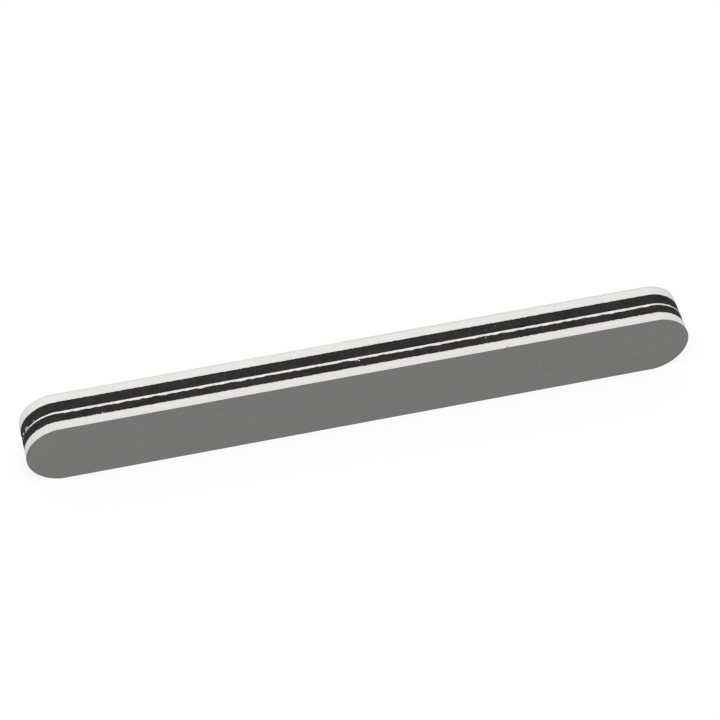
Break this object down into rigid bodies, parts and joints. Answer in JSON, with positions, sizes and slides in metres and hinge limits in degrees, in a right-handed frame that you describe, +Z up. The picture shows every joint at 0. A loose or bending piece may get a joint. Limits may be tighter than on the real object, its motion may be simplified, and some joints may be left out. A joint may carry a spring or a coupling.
{
  "type": "three-way nail buffer",
  "caption": "Round-ended buffing board of black and white foam layers on a stiff core, with a full-length grey shine face and two part-length rear faces.",
  "frame": {"origin": "under the middle of the board, on the surface that its lower long edge stands on", "axes": "+X along the board's length, +Y through its thickness from the shine face to the rear faces, +Z up across its width"},
  "size_m": [0.178, 0.012, 0.02],
  "materials": {
    "shine_film": "fine satin polishing film, grey",
    "ridge_film": "coarse grey abrasive paper",
    "smooth_film": "fine white abrasive film",
    "white_foam": "matt closed-cell foam, cut edge",
    "black_foam": "matt closed-cell foam, cut edge",
    "core_board": "white stiff plastic, roughly cut edge",
    "adhesive": "clear adhesive film seen at its edge"
  },
  "bodies": {
    "root": {"shine_face_film": "shine_film", "shine_face_adhesive": "adhesive", "front_white_foam": "white_foam", "front_foam_adhesive": "adhesive", "front_black_foam": "black_foam", "front_core_adhesive": "adhesive", "core_board": "core_board", "rear_core_adhesive": "adhesive", "rear_black_foam": "black_foam", "rear_foam_adhesive": "adhesive", "rear_white_foam": "white_foam", "smooth_face_adhesive": "adhesive", "smooth_face_film": "smooth_film", "ridge_face_adhesive": "adhesive", "ridge_face_film": "ridge_film"}
  },
  "joints": []
}
